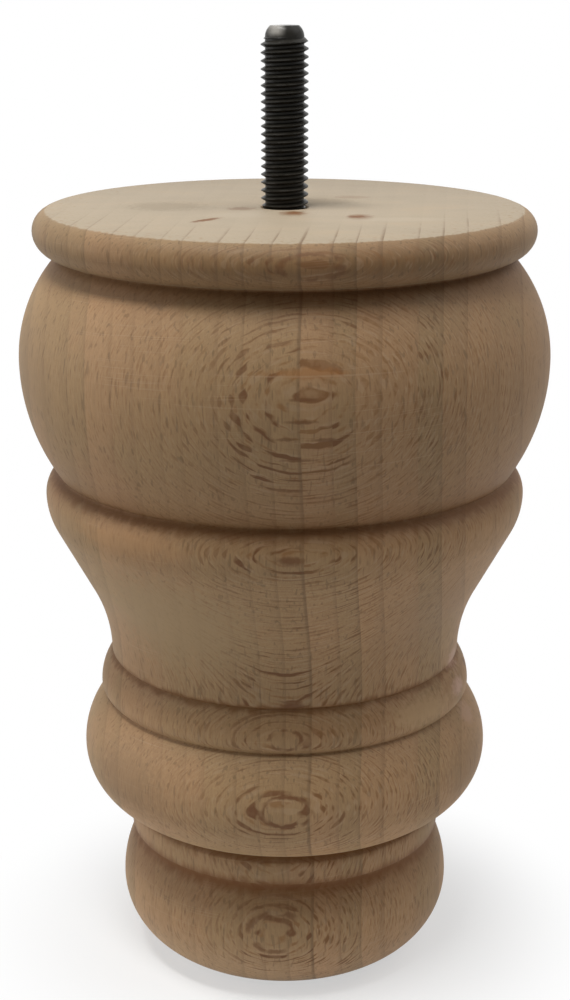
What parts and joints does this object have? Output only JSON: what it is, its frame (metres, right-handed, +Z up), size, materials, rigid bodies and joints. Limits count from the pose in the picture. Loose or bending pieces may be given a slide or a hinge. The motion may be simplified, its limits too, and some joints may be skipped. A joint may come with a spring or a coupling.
{
  "type": "turned wooden furniture foot",
  "caption": "Turned wooden foot with round mouldings, a waisted ogee and a wide bulb, held under furniture by the threaded stud of a hanger bolt in its flat top.",
  "frame": {"origin": "centre of the flat base, on the floor and on the turning axis", "axes": "+Z up along the turning axis, from the base to the stud's tip; the part is round, so +X and +Y are free"},
  "size_m": [0.1092, 0.1092, 0.1978],
  "materials": {
    "beech": "unfinished beech, sanded on the lathe",
    "black_steel": "black oxide, slightly oily"
  },
  "bodies": {
    "root": {"turned_foot": "beech", "hanger_bolt": "black_steel"}
  },
  "joints": []
}
